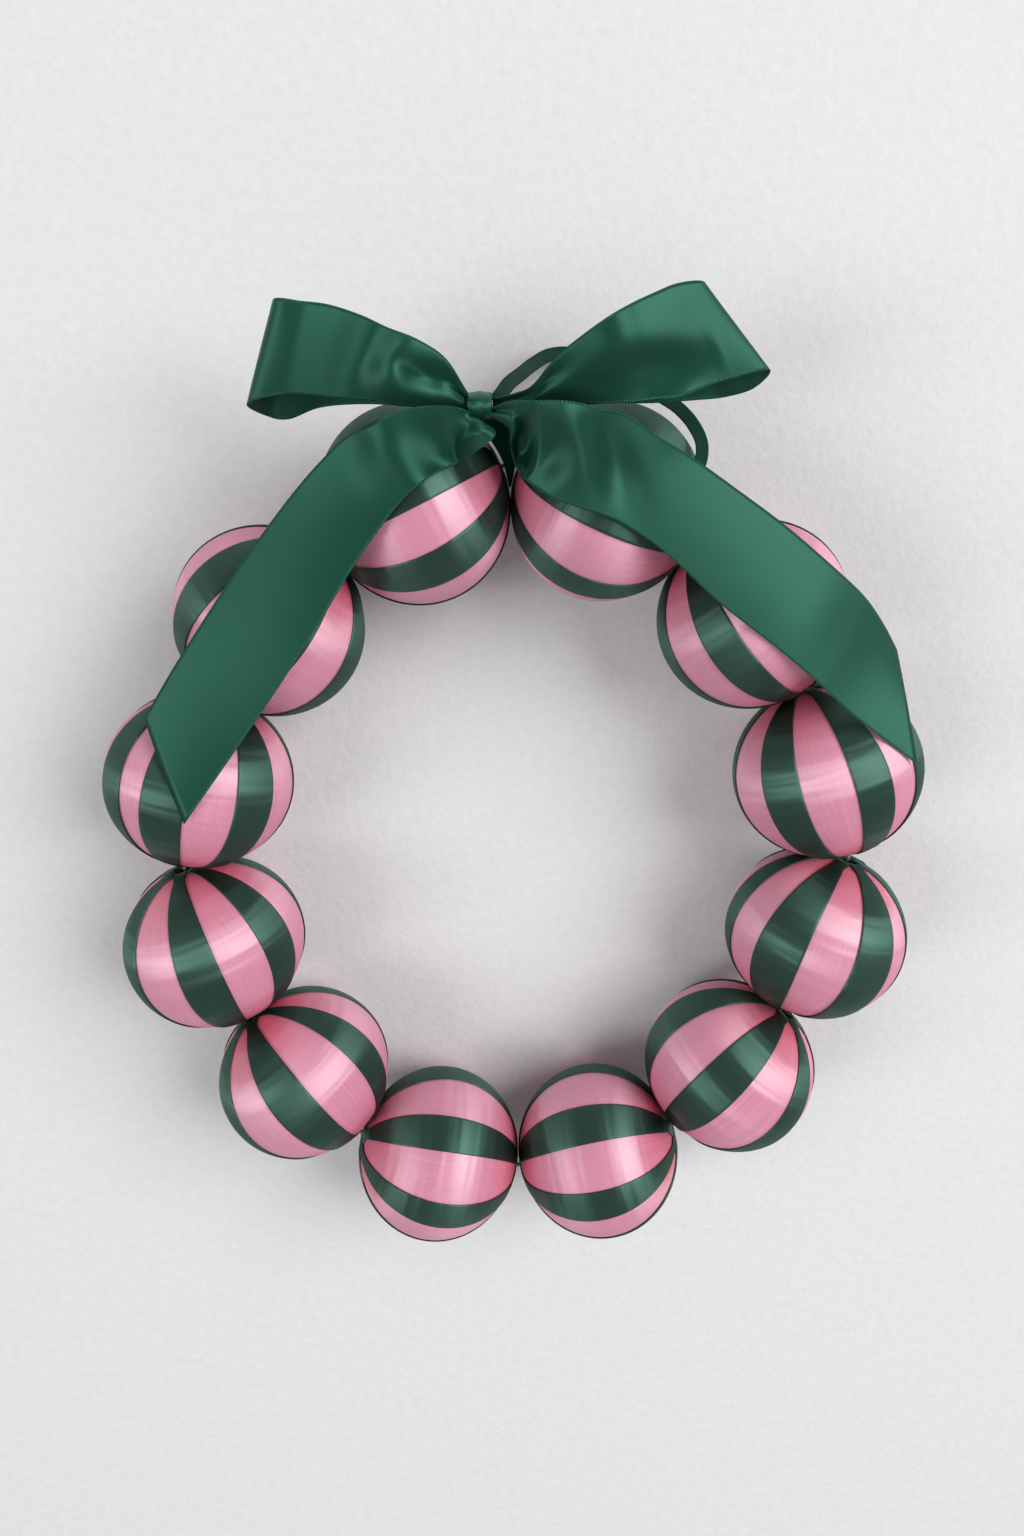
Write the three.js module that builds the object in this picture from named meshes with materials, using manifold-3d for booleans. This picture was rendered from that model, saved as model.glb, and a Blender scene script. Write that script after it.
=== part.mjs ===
// A wreath of twelve ribbon-wrapped foam balls strung pole to pole on a wire, with a satin bow.
// It lies flat: +Z is up, and +Y points across the ring to the bow. Lengths are in millimetres.

import * as THREE from "three";
import { mergeVertices } from "three/addons/utils/BufferGeometryUtils.js";
import Module from "manifold-3d";

const wasm = await Module();
wasm.setup();

// Driving dimensions of the ring and its balls
const RING_SHIFT = [-0.2, -19, 0]; // puts the origin midway along and across the whole wreath
const BALL_RADIUS = 40.4; // over the green ribbon, across the ball's bore
const BALL_HALF_LENGTH = 38.5; // from the centre to a pole
const BALL_CENTRE_HEIGHT = 39.8; // a little less than the radius, which leaves a small flat to rest on
const BALL_SPACING = 77.6;
const RING_HALF_HEIGHT = 154; // centres of the top and bottom pairs
const RING_HALF_WIDTH = 137; // centres of the side pairs
const GAP = 0.3; // kept between solids that touch

// Layers of a wrapped ball, as radii across the bore
const GREEN_THICKNESS = 0.9;
const PINK_RADIUS = 38.7;
const PINK_THICKNESS = 0.8;
const CORE_RADIUS = 37.5;
const LATITUDES = [-81, -73, -50, -25, 0, 25, 50, 73, 81]; // degrees from the equator
const INNER_LATITUDES = [-81, -50, 0, 50, 81]; // faces that nobody sees are plainer
const PINK_SIDES = 12;
const CORE_SIDES = 12;

const WIRE_RADIUS = 1;
const WIRE_SIDES = 8;
const RIBBON_THICKNESS = 0.8; // the satin is thinner, and its solid stands for it
const RIBBON_CELLS = 3; // facets across the ribbon
const HANGER_WIDTH = 6;
const HANGER_THICKNESS = 1;

// Each ball: how far its bore has turned outwards and upwards (degrees), and where its stripes change.
// Stripe edges are degrees round the bore, from straight up towards the outside of the ring. They
// start with a green band, take turns with pink, and are evenly spaced where they face the table.
const BALLS = {
  ball_01: { out: 7, up: -4, stripes: [-50, -24, 1] },
  ball_02: { out: -7, up: 5, stripes: [-66, -44, -14] },
  ball_03: { out: -6, up: 0, stripes: [-88, -59, -27, 2, 31, 55] },
  ball_04: { out: -3, up: 4, stripes: [-38, -16, 15, 52, 88] },
  ball_05: { out: 0, up: -6, stripes: [-61, -35, -6, 21, 38, 63] },
  ball_06: { out: 5, up: 6, stripes: [-53, -27, 2, 25, 47] },
  ball_07: { out: 3, up: 3, stripes: [-70, -46, -18, 8, 41] },
  ball_08: { out: -5, up: -3, stripes: [-97, -79, -53, -23, 7, 37, 62] },
  ball_09: { out: -5, up: 3, stripes: [-76, -55, -21, 6, 38] },
  ball_10: { out: 0, up: -4, stripes: [-98, -71, -39, -11, 24, 47] },
  ball_11: { out: 3, up: 4, stripes: [-60, -37, -4, 17] },
  ball_12: { out: -3, up: -4, stripes: [-66, -40, -10, 12] },
};
const STRIPES_PER_BALL = 12;
const CLOCKWISE = [2, 4, 6, 8, 10, 12, 11, 9, 7, 5, 3, 1]; // ball numbers, from right of the bow

// The bow. A station is [outer edge], [inner edge], lift: the ribbon's two edges and how far its
// middle stands above the line between them. Heights are above the table, and X and Y from the ring.
const LEFT_LOOP = [
  [[-15, 196, 84], [-15.5, 190, 79], 0],
  [[-22, 207, 92], [-26, 191, 84], 3],
  [[-31, 213, 98], [-40, 192, 86], 4],
  [[-41, 217, 102], [-50, 194, 87], 4],
  [[-50, 221, 105], [-63, 195, 87], 3],
  [[-60, 224, 106], [-71, 196, 85], 2],
  [[-69, 225, 104], [-81, 196, 81], 1],
  [[-78, 226, 97], [-94, 193, 71], 0],
  [[-81, 223, 84], [-91, 189, 61], 0],
  [[-78, 221, 77], [-84, 188, 58], 0],
  [[-68, 218, 74], [-72, 192, 58], 0],
  [[-54, 213, 74], [-56, 193, 62], -1],
  [[-36, 205, 75], [-37, 192, 68], -1],
  [[-15.7, 195, 76], [-15.8, 190, 74], 0],
];
const RIGHT_LOOP = [
  [[-6.3, 194, 79.5], [-6.3, 189, 77.5], 0],
  [[6, 197, 86], [5, 190, 80], 0],
  [[13, 204, 92], [14, 192, 84], 2],
  [[18, 209, 96], [24, 192, 87], 3],
  [[31, 218, 102], [40, 192, 88], 4],
  [[40, 223, 105], [51, 193, 87], 4],
  [[49, 227, 105], [62, 194, 84], 3],
  [[57, 230, 102], [73, 198, 80], 1],
  [[66, 231, 96], [95, 203, 70], 0],
  [[69, 228, 84], [92, 197, 60], 0],
  [[65, 225, 77], [82, 194, 58], 0],
  [[53, 221, 74], [71, 193, 60], 0],
  [[40, 214, 74], [53, 192, 64], -1],
  [[24, 203, 75], [34, 192, 69], -1],
  [[-6.3, 193.5, 74.8], [-6.3, 189.5, 73.8], 0],
];
const LEFT_TAIL = [
  [[-13.8, 187.8, 83.5], [-10.6, 186.6, 81.5], 0],
  [[-21, 190, 90], [-13, 180, 84], 1],
  [[-32, 190, 93], [-21, 172, 86], 2],
  [[-42, 188, 93], [-28, 168, 87], 2],
  [[-50, 185, 91], [-34, 164, 86], 2],
  [[-58, 182, 88], [-40, 159, 83], 3],
  [[-67, 175, 84], [-47, 151, 82], 3],
  [[-82, 160, 79], [-60, 134, 81], 4],
  [[-103, 135, 76], [-76, 110, 79.5], 5],
  [[-128, 102, 75], [-99, 78, 79], 4],
  [[-134, 94, 74], [-107, 68, 79], 3.5],
  [[-146, 76, 74], [-133, 33, 81], 2.5],
];
const RIGHT_TAIL = [
  [[-7.2, 190.8, 83], [-7.4, 188, 81.6], 0],
  [[0, 193, 90], [-1, 184, 81], 2],
  [[7, 193, 94], [0, 178, 77], 4],
  [[16, 193, 96], [1, 173, 76], 5],
  [[24, 192, 96], [3, 168, 77], 5],
  [[32, 190, 95], [7, 164, 78], 4],
  [[41, 188, 92], [15, 159, 80], 3],
  [[52, 181, 88], [26, 155, 81.5], 2],
  [[66, 173, 83], [40, 150, 82], 2],
  [[84, 161, 78], [58, 138, 80], 3],
  [[104, 147, 74], [79, 119, 80], 4],
  [[124, 131, 71], [101, 102, 80.8], 4],
  [[138, 119, 68], [118, 88, 78], 3],
  [[147, 108, 66], [136, 72, 74], 2],
  [[154, 97, 65], [165, 50, 70], 1],
];
const HANGER_ROUTE = [
  [-5.4, 193, 71], [-3, 196, 66], [0, 200, 56], [5, 204, 42], [10, 208, 28], [17, 212, 15],
  [26, 213, 6], [38, 210, 2.5], [50, 204, 3.5], [59, 198, 12], [64, 194, 26], [68, 190, 38],
  [72, 184, 48], [74, 177, 57], [72, 170, 65], [66, 166, 70.5], [56, 165, 73.5], [44, 169, 76.8],
  [30, 176, 77.4], [16, 184, 75], [4, 188, 70.5], [-6, 189.5, 69.5],
];
const KNOT_CENTRE = [-11, 191.5, 77.5];
const KNOT_HALF_SIZE = [4.4, 5, 8];
const STRAP_ROUTE = [[-11, 191, 74], [-8, 190, 64], [-3, 186, 52], [0, 181, 43]];
const STRAP_WIDTH = 2.6;
const STRAP_THICKNESS = 1.4;

const DEGREE = Math.PI / 180;
const UP = new THREE.Vector3(0, 0, 1);

const finish = (name, color, roughness, metalness = 0) =>
  Object.assign(new THREE.MeshStandardMaterial({ color, roughness, metalness }), { name });
const GREEN_WRAP = finish("green_wrap", 0x2f4f46, 0.32);
const PINK_WRAP = finish("pink_wrap", 0xe093ad, 0.34);
const GREEN_SATIN = finish("green_satin", 0x1f5a48, 0.38);
const FOAM = finish("foam", 0xf2f0ea, 0.9);
const STEEL = finish("steel_wire", 0x9a9a98, 0.35, 1);

function toSolid(geometry) {
  const bare = geometry.clone();
  bare.deleteAttribute("normal");
  bare.deleteAttribute("uv");
  const merged = mergeVertices(bare, 1e-4);
  return new wasm.Manifold(new wasm.Mesh({
    numProp: 3,
    vertProperties: merged.attributes.position.array,
    triVerts: Uint32Array.from(merged.index.array),
  }));
}

function toGeometry(solid) {
  const { vertProperties, triVerts } = solid.getMesh();
  const geometry = new THREE.BufferGeometry();
  geometry.setAttribute("position", new THREE.BufferAttribute(vertProperties, 3));
  geometry.setIndex(Array.from(triVerts));
  geometry.computeVertexNormals();
  return geometry;
}

function fromFaces(points, faces) {
  const geometry = new THREE.BufferGeometry().setFromPoints(points);
  geometry.setIndex(faces);
  return geometry;
}

function addPart(parent, name, geometry, material) {
  const mesh = new THREE.Mesh(geometry, material);
  mesh.name = name;
  parent.add(mesh);
}

// Ball centres: the top, bottom and side pairs stand on the ring's axes, and each corner ball
// is one spacing from its neighbours on both sides.
function ballCentres() {
  const half = BALL_SPACING / 2;
  const topBall = new THREE.Vector2(half, RING_HALF_HEIGHT);
  const sideBall = new THREE.Vector2(RING_HALF_WIDTH, half);
  const chord = sideBall.clone().sub(topBall);
  const bulge = Math.sqrt(BALL_SPACING ** 2 - chord.lengthSq() / 4);
  const outward = new THREE.Vector2(-chord.y, chord.x).normalize();
  const cornerBall = topBall.clone().add(sideBall).multiplyScalar(0.5).addScaledVector(outward, bulge);
  const centres = [];
  const place = (number, spot, signX, signY) => {
    centres[number] = new THREE.Vector3(signX * spot.x, signY * spot.y, BALL_CENTRE_HEIGHT);
  };
  for (const side of [-1, 1]) {
    const offset = side > 0 ? 1 : 0;
    place(1 + offset, topBall, side, 1);
    place(3 + offset, cornerBall, side, 1);
    place(5 + offset, sideBall, side, 1);
    place(7 + offset, sideBall, side, -1);
    place(9 + offset, cornerBall, side, -1);
    place(11 + offset, topBall, side, -1);
  }
  return centres;
}

// A ball's own frame: Y along its bore, Z up, X towards the middle of the ring.
function ballFrame(centres, turn, { out, up }) {
  const total = CLOCKWISE.length;
  const before = centres[CLOCKWISE[(turn + total - 1) % total]];
  const after = centres[CLOCKWISE[(turn + 1) % total]];
  const bore = after.clone().sub(before).normalize();
  const inward = new THREE.Vector3().crossVectors(bore, UP);
  bore.addScaledVector(inward, -Math.tan(out * DEGREE));
  bore.addScaledVector(UP, Math.tan(up * DEGREE)).normalize();
  inward.crossVectors(bore, UP).normalize();
  const above = new THREE.Vector3().crossVectors(inward, bore);
  const frame = new THREE.Matrix4().makeBasis(inward, bore, above);
  return frame.setPosition(centres[CLOCKWISE[turn]]);
}

// All twelve stripe edges: those that are given, then even steps round to the first one again.
function stripeEdges(given) {
  const edges = [...given];
  const last = given[given.length - 1];
  const step = (given[0] + 360 - last) / (STRIPES_PER_BALL - given.length + 1);
  for (let i = 1; edges.length < STRIPES_PER_BALL; i += 1) edges.push(last + step * i);
  return edges;
}

// A point on a layer of a ball, from its latitude and its angle round the bore.
function onLayer(radius, latitude, angle) {
  const length = radius - (BALL_RADIUS - BALL_HALF_LENGTH);
  const across = radius * Math.cos(latitude * DEGREE);
  return new THREE.Vector3(
    -across * Math.sin(angle * DEGREE),
    length * Math.sin(latitude * DEGREE),
    across * Math.cos(angle * DEGREE),
  );
}

function layerProfile(radius, latitudes) {
  return latitudes.map((latitude) => {
    const point = onLayer(radius, latitude, 0);
    return new THREE.Vector2(point.z, point.y);
  });
}

// A ring-shaped layer: out along one arc from pole to pole, back along a smaller one.
function ballLayer(outer, inner, sides) {
  const profile = [
    ...layerProfile(outer, LATITUDES),
    ...layerProfile(inner, INNER_LATITUDES).reverse(),
  ];
  profile.push(profile[0].clone());
  return toGeometry(toSolid(new THREE.LatheGeometry(profile, sides)));
}

// Foam ball with its bore
function foamBall() {
  const profile = layerProfile(CORE_RADIUS, INNER_LATITUDES);
  profile.push(profile[0].clone());
  return toGeometry(toSolid(new THREE.LatheGeometry(profile, CORE_SIDES)));
}

// The green ribbon's six bands, joined round both poles, where they lap over each other.
function greenBands(edges) {
  const angles = edges.flatMap((edge, i) => {
    const next = i + 1 < edges.length ? edges[i + 1] : edges[0] + 360;
    return i % 2 === 0 ? [edge, (edge + next) / 2] : [edge];
  });
  const columns = angles.length;
  const rows = LATITUDES.length - 1;
  const isGreen = (column) => column % 3 !== 2;
  const isCovered = (row, column) => row === 0 || row === rows - 1 || isGreen(column);
  const points = [];
  const corner = [[], []];
  [BALL_RADIUS, BALL_RADIUS - GREEN_THICKNESS].forEach((radius, side) => {
    LATITUDES.forEach((latitude, row) => {
      angles.forEach((angle, column) => {
        corner[side][row * columns + column] = points.length;
        points.push(onLayer(radius, latitude, angle));
      });
    });
  });
  const faces = [];
  const quad = (a, b, c, d) => faces.push(a, b, c, a, c, d);
  for (let row = 0; row < rows; row += 1) {
    for (let column = 0; column < columns; column += 1) {
      if (!isCovered(row, column)) continue;
      const next = (column + 1) % columns;
      const at = (side, r, c) => corner[side][r * columns + c];
      quad(at(0, row, column), at(0, row + 1, column), at(0, row + 1, next), at(0, row, next));
      quad(at(1, row, column), at(1, row, next), at(1, row + 1, next), at(1, row + 1, column));
      const wall = (r1, c1, r2, c2) => quad(at(0, r1, c1), at(0, r2, c2), at(1, r2, c2), at(1, r1, c1));
      const before = (column + columns - 1) % columns;
      if (row === 0 || !isCovered(row - 1, column)) wall(row, column, row, next);
      if (row === rows - 1 || !isCovered(row + 1, column)) wall(row + 1, next, row + 1, column);
      if (!isCovered(row, before)) wall(row + 1, column, row, column);
      if (!isCovered(row, next)) wall(row, next, row + 1, next);
    }
  }
  return toSolid(fromFaces(points, faces));
}

// What lies below the table, seen from a ball's own frame
function belowTable(frame) {
  const depth = 20;
  const slab = new THREE.BoxGeometry(4 * BALL_RADIUS, 4 * BALL_RADIUS, depth);
  const centre = new THREE.Vector3().setFromMatrixPosition(frame);
  slab.translate(centre.x, centre.y, -depth / 2);
  return toSolid(slab.applyMatrix4(frame.clone().invert()));
}

function addBall(wreath, name, ball, frame) {
  const group = new THREE.Group();
  group.applyMatrix4(frame);
  const green = greenBands(stripeEdges(ball.stripes)).subtract(belowTable(frame));
  addPart(group, `${name}_green_ribbon`, toGeometry(green), GREEN_WRAP);
  const pink = ballLayer(PINK_RADIUS, PINK_RADIUS - PINK_THICKNESS, PINK_SIDES);
  addPart(group, `${name}_pink_ribbon`, pink, PINK_WRAP);
  addPart(group, `${name}_foam_core`, foamBall(), FOAM);
  wreath.add(group);
}

// Where the wire bends: halfway between the poles of each two neighbours, the last under the bow
function wireBends(frames) {
  const pole = (frame, side) => new THREE.Vector3(0, side * BALL_HALF_LENGTH, 0).applyMatrix4(frame);
  return frames.map((frame, i) => {
    const next = frames[(i + 1) % frames.length];
    return pole(frame, 1).lerp(pole(next, -1), 0.5);
  });
}

// The wire runs straight through each ball, mitred at the bends. Its two ends meet under the bow.
function ringWire(bends) {
  const last = bends[bends.length - 1];
  const tip = (towards) => last.clone().add(towards.clone().sub(last).setLength(GAP));
  const route = [tip(bends[0]), ...bends.slice(0, -1), tip(bends[bends.length - 2])];
  const points = [];
  const faces = [];
  route.forEach((bend, i) => {
    const before = bend.clone().sub(route[Math.max(i - 1, 0)]).normalize();
    const after = route[Math.min(i + 1, route.length - 1)].clone().sub(bend).normalize();
    const along = before.clone().add(after).normalize();
    const isEnd = before.length() * after.length() === 0;
    const stretch = isEnd ? 1 : 1 / Math.cos(before.angleTo(after) / 2);
    const side = new THREE.Vector3().crossVectors(along, UP).normalize();
    const top = new THREE.Vector3().crossVectors(side, along);
    for (let k = 0; k < WIRE_SIDES; k += 1) {
      const angle = (2 * Math.PI * k) / WIRE_SIDES;
      const point = bend.clone().addScaledVector(side, WIRE_RADIUS * stretch * Math.cos(angle));
      points.push(point.addScaledVector(top, WIRE_RADIUS * Math.sin(angle)));
      if (i === 0) continue;
      const here = i * WIRE_SIDES + k;
      const next = i * WIRE_SIDES + ((k + 1) % WIRE_SIDES);
      faces.push(here, next, next - WIRE_SIDES, here, next - WIRE_SIDES, here - WIRE_SIDES);
    }
  });
  const far = points.length - WIRE_SIDES;
  for (let k = 1; k < WIRE_SIDES - 1; k += 1) faces.push(0, k, k + 1, far, far + k + 1, far + k);
  return fromFaces(points, faces);
}

// A ribbon as a thin closed body through its stations
function ribbon(stations, thickness, samples, cells = RIBBON_CELLS) {
  const edge = (side) => new THREE.CatmullRomCurve3(
    stations.map((station) => new THREE.Vector3(...station[side])), false, "centripetal");
  const outer = edge(0);
  const inner = edge(1);
  const liftAt = (t) => {
    const place = t * (stations.length - 1);
    const i = Math.min(Math.floor(place), stations.length - 2);
    return THREE.MathUtils.lerp(stations[i][2], stations[i + 1][2], place - i);
  };
  const pointAt = (t, across) => {
    const point = outer.getPoint(t).lerp(inner.getPoint(t), across);
    point.z += liftAt(t) * 4 * across * (1 - across);
    return point;
  };
  const width = cells + 1;
  const middle = [];
  for (let i = 0; i <= samples; i += 1) {
    for (let j = 0; j <= cells; j += 1) middle.push(pointAt(i / samples, j / cells));
  }
  const at = (i, j) => middle[Math.min(Math.max(i, 0), samples) * width + Math.min(Math.max(j, 0), cells)];
  const offset = (i, j, amount) => {
    const along = at(i + 1, j).clone().sub(at(i - 1, j));
    const across = at(i, j + 1).clone().sub(at(i, j - 1));
    return at(i, j).clone().addScaledVector(across.cross(along).normalize(), amount);
  };
  const points = [];
  for (const amount of [thickness / 2, -thickness / 2]) {
    for (let i = 0; i <= samples; i += 1) {
      for (let j = 0; j <= cells; j += 1) points.push(offset(i, j, amount));
    }
  }
  const faces = [];
  const quad = (a, b, c, d) => faces.push(a, b, c, a, c, d);
  const under = middle.length;
  for (let i = 0; i < samples; i += 1) {
    for (let j = 0; j < cells; j += 1) {
      const a = i * width + j;
      quad(a, a + 1, a + width + 1, a + width);
      quad(under + a, under + a + width, under + a + width + 1, under + a + 1);
    }
  }
  const rim = [];
  for (let j = 0; j < cells; j += 1) rim.push(j);
  for (let i = 0; i < samples; i += 1) rim.push(i * width + cells);
  for (let j = cells; j > 0; j -= 1) rim.push(samples * width + j);
  for (let i = samples; i > 0; i -= 1) rim.push(i * width);
  rim.forEach((a, i) => {
    const b = rim[(i + 1) % rim.length];
    quad(a, under + a, under + b, b);
  });
  return fromFaces(points, faces);
}

// A flat cord as ribbon stations: its broad side faces up, square to the way it runs
function flatCord(route, width) {
  return route.map((point, i) => {
    const before = route[Math.max(i - 1, 0)];
    const after = route[Math.min(i + 1, route.length - 1)];
    const side = new THREE.Vector2(before[1] - after[1], after[0] - before[0]).setLength(width / 2);
    const edge = (sign) => [point[0] + sign * side.x, point[1] + sign * side.y, point[2]];
    return [edge(1), edge(-1), 0];
  });
}

// The knot, with a strap from it down to the wire and once round it
function bowKnot(meeting) {
  const lump = new THREE.SphereGeometry(1, 10, 7).scale(...KNOT_HALF_SIZE).translate(...KNOT_CENTRE);
  const inside = WIRE_RADIUS + 3 * GAP;
  const outside = inside + STRAP_THICKNESS;
  const half = STRAP_THICKNESS / 2;
  const hoop = new THREE.LatheGeometry([
    new THREE.Vector2(inside, -half), new THREE.Vector2(outside, -half),
    new THREE.Vector2(outside, half), new THREE.Vector2(inside, half),
    new THREE.Vector2(inside, -half),
  ], 12);
  hoop.rotateZ(Math.PI / 2).translate(meeting.x, meeting.y, meeting.z);
  const seat = [meeting.x, meeting.y + inside * 0.7 + half, meeting.z + inside * 0.7 + half];
  const drop = ribbon(flatCord([...STRAP_ROUTE, seat], STRAP_WIDTH), STRAP_THICKNESS, 8, 1);
  return toGeometry(toSolid(lump).add(toSolid(drop)).add(toSolid(hoop)));
}

const wreath = new THREE.Group();
wreath.position.set(...RING_SHIFT);
const centres = ballCentres();
const frames = CLOCKWISE.map((number, turn) => {
  const name = `ball_${String(number).padStart(2, "0")}`;
  const frame = ballFrame(centres, turn, BALLS[name]);
  addBall(wreath, name, BALLS[name], frame);
  return frame;
});
const bends = wireBends(frames);
addPart(wreath, "ring_wire", ringWire(bends), STEEL);
addPart(wreath, "bow_knot", bowKnot(bends[bends.length - 1]), GREEN_SATIN);
addPart(wreath, "bow_left_loop", ribbon(LEFT_LOOP, RIBBON_THICKNESS, 24), GREEN_SATIN);
addPart(wreath, "bow_right_loop", ribbon(RIGHT_LOOP, RIBBON_THICKNESS, 26), GREEN_SATIN);
addPart(wreath, "bow_left_tail", ribbon(LEFT_TAIL, RIBBON_THICKNESS, 18), GREEN_SATIN);
addPart(wreath, "bow_right_tail", ribbon(RIGHT_TAIL, RIBBON_THICKNESS, 22), GREEN_SATIN);
const hanger = ribbon(flatCord(HANGER_ROUTE, HANGER_WIDTH), HANGER_THICKNESS, 42, 1);
addPart(wreath, "hanger_ribbon", hanger, GREEN_SATIN);

export default wreath;
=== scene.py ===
import math
import random

import bmesh
import bpy
from mathutils import Matrix, Vector


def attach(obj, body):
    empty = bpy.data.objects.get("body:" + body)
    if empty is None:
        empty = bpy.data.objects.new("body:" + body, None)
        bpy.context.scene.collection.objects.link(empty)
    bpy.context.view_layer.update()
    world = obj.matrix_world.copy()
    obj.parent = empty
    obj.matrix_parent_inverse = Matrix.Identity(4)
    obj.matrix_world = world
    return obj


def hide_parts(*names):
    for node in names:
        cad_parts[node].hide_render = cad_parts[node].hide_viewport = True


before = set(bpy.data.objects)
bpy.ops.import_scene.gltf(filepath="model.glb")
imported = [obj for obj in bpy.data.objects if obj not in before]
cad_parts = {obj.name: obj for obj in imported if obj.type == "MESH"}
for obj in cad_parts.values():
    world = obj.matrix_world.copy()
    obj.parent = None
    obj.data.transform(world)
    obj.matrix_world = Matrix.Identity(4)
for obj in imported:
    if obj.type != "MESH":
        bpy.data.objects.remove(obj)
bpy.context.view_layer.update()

MM = 0.001

# Ring and balls, in millimetres and degrees, with heights above the table
RING_SHIFT = Vector((-0.2, -19.0, 0.0))
BALL_RADIUS = 40.4
BALL_HALF_LENGTH = 38.5
BALL_CENTRE_HEIGHT = 39.8
BALL_SPACING = 77.6
RING_HALF_HEIGHT = 154.0
RING_HALF_WIDTH = 137.0
CLOCKWISE = (2, 4, 6, 8, 10, 12, 11, 9, 7, 5, 3, 1)
STRIPES_PER_BALL = 12
UNDER_RIBBON_DROP = 0.42   # how far the pink lies below the green
WRAP_THICKNESS = 0.3
BORE_RIM_LATITUDE = 84.5   # where the ribbons turn down into the bore
RIM_STEP = 3.1             # degrees for each mm of height: an upper ribbon turns down inside a lower one
BORE_TUCK = 3.0            # how far they follow it down
TUCK_SHARE = 0.05          # the share of a band's length, at each end, that is tucked in
PINK_THICKNESS = 0.1
PINK_UNDERLAP = 6          # degrees that a pink band runs on under the green beside it
PINK_LAP = 0.1             # how much lower every second pink band lies, which keeps the laps apart
GREEN_LAP = 0.06           # the step from one green band to the next where they meet
GREEN_REACH = 0.56         # the share of the pink between two green bands that each covers there
MOST_SWAY = 0.9            # degrees, in each of the two waves by which a band's edge strays
EDGE_CROWDING = 0.35       # how much the mesh lines draw together at a band's edges
WINDOW_CLOSES = (0.80, 0.925)   # where green closes over the pink, from 0 in mid-ball to 1 at a pole
WINDOW_SHAPE = 1.6         # over 1, the pink stays wide for longer
GREEN_GRID = (12, 56)      # mesh columns and rows of one band
PINK_GRID = (12, 40)
STRIPE_CLOTH_STEP = 31     # mm on the flat ribbon from one stripe to the next, so that no two look alike
GREEN_CLOTH_STEP = 57      # the same from one ball's green to the next one's
PINK_CLOTH_STEP = 91       # the same for the pink

# Each ball: how far its bore turns outwards and upwards, and where its stripes change, in degrees
# round the bore from straight up towards the outside. Green comes first.
BALLS = {
    1: (7, -4, (-50, -24, 1, 28)),
    2: (-7, 5, (-66, -44, -14)),
    3: (-6, 0, (-88, -59, -27, 2, 31, 55)),
    4: (-3, 4, (-38, -16, 15, 52, 88)),
    5: (0, -6, (-61, -35, -6, 21, 38, 63)),
    6: (5, 6, (-53, -27, 2, 25, 47)),
    7: (3, 3, (-70, -46, -18, 8, 41)),
    8: (-5, -3, (-97, -79, -53, -23, 7, 37, 62)),
    9: (-5, 3, (-76, -55, -21, 6, 38)),
    10: (0, -4, (-98, -71, -39, -11, 24, 47)),
    11: (3, 4, (-60, -37, -4, 17)),
    12: (-3, -4, (-66, -40, -10, 12)),
}

# The bow: 38 mm satin ribbon. A station is outer edge, inner edge, lift of the middle.
RIBBON_WIDTH = 38.0
SATIN_THICKNESS = 0.3
LEFT_LOOP = (
    ((-15, 196, 84), (-15.5, 190, 79), 0),
    ((-22, 207, 92), (-26, 191, 84), 3),
    ((-31, 213, 96), (-40, 192, 84), 4),
    ((-41, 217, 96.5), (-50, 194, 84), 3),
    ((-50, 221, 98.5), (-63, 195, 86), 2),
    ((-60, 224, 102), (-71, 196, 89), 2),
    ((-69, 225, 105), (-81, 196, 91.5), 2),
    ((-78, 226, 103), (-94, 193, 84), 1),
    ((-81, 223, 86), (-91, 189, 63), 0),
    ((-78, 221, 77), (-84, 188, 58), 0),
    ((-68, 218, 74), (-72, 192, 58), 0),
    ((-54, 213, 74), (-56, 193, 62), -1),
    ((-36, 205, 75), (-37, 192, 68), -1),
    ((-15.7, 195, 76), (-15.8, 190, 74), 0),
)
RIGHT_LOOP = (
    ((-6.3, 194, 79.5), (-6.3, 189, 77.5), 0),
    ((6, 197, 86), (5, 190, 80), 0),
    ((13, 204, 92), (14, 192, 84), 2),
    ((18, 209, 96), (24, 192, 87), 3),
    ((31, 218, 103), (40, 192, 89), 4),
    ((40, 223, 102), (51, 193, 88), 4),
    ((49, 227, 99.5), (62, 194, 85), 3),
    ((57, 230, 96.5), (73, 198, 81), 2),
    ((66, 231, 92), (95, 203, 72), 0),
    ((69, 228, 83), (92, 197, 62), 0),
    ((65, 225, 77), (82, 194, 58), 0),
    ((53, 221, 74), (71, 193, 60), 0),
    ((40, 214, 74), (53, 192, 64), -1),
    ((24, 203, 75), (34, 192, 69), -1),
    ((-6.3, 193.5, 74.8), (-6.3, 189.5, 73.8), 0),
)
LEFT_TAIL = (
    ((-13.8, 189.3, 83.5), (-10.6, 186.6, 81.5), 0),
    ((-21, 191.5, 90), (-5.5, 181.5, 82.5), 1),
    ((-32, 191.5, 93), (-18, 172.5, 85), 2),
    ((-42, 189, 93), (-28, 168, 87), 2),
    ((-50, 185, 91), (-34, 164, 86), 2),
    ((-58, 182, 88), (-40, 159, 84), 2),
    ((-67, 175, 85), (-47, 151, 83), 2),
    ((-82, 160, 81), (-60, 134, 82), 2.5),
    ((-103, 135, 78.5), (-76, 110, 81), 2.5),
    ((-128, 102, 77), (-99, 78, 80), 2),
    ((-146, 76, 76), (-133, 33, 81.5), 1.5),
)
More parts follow.
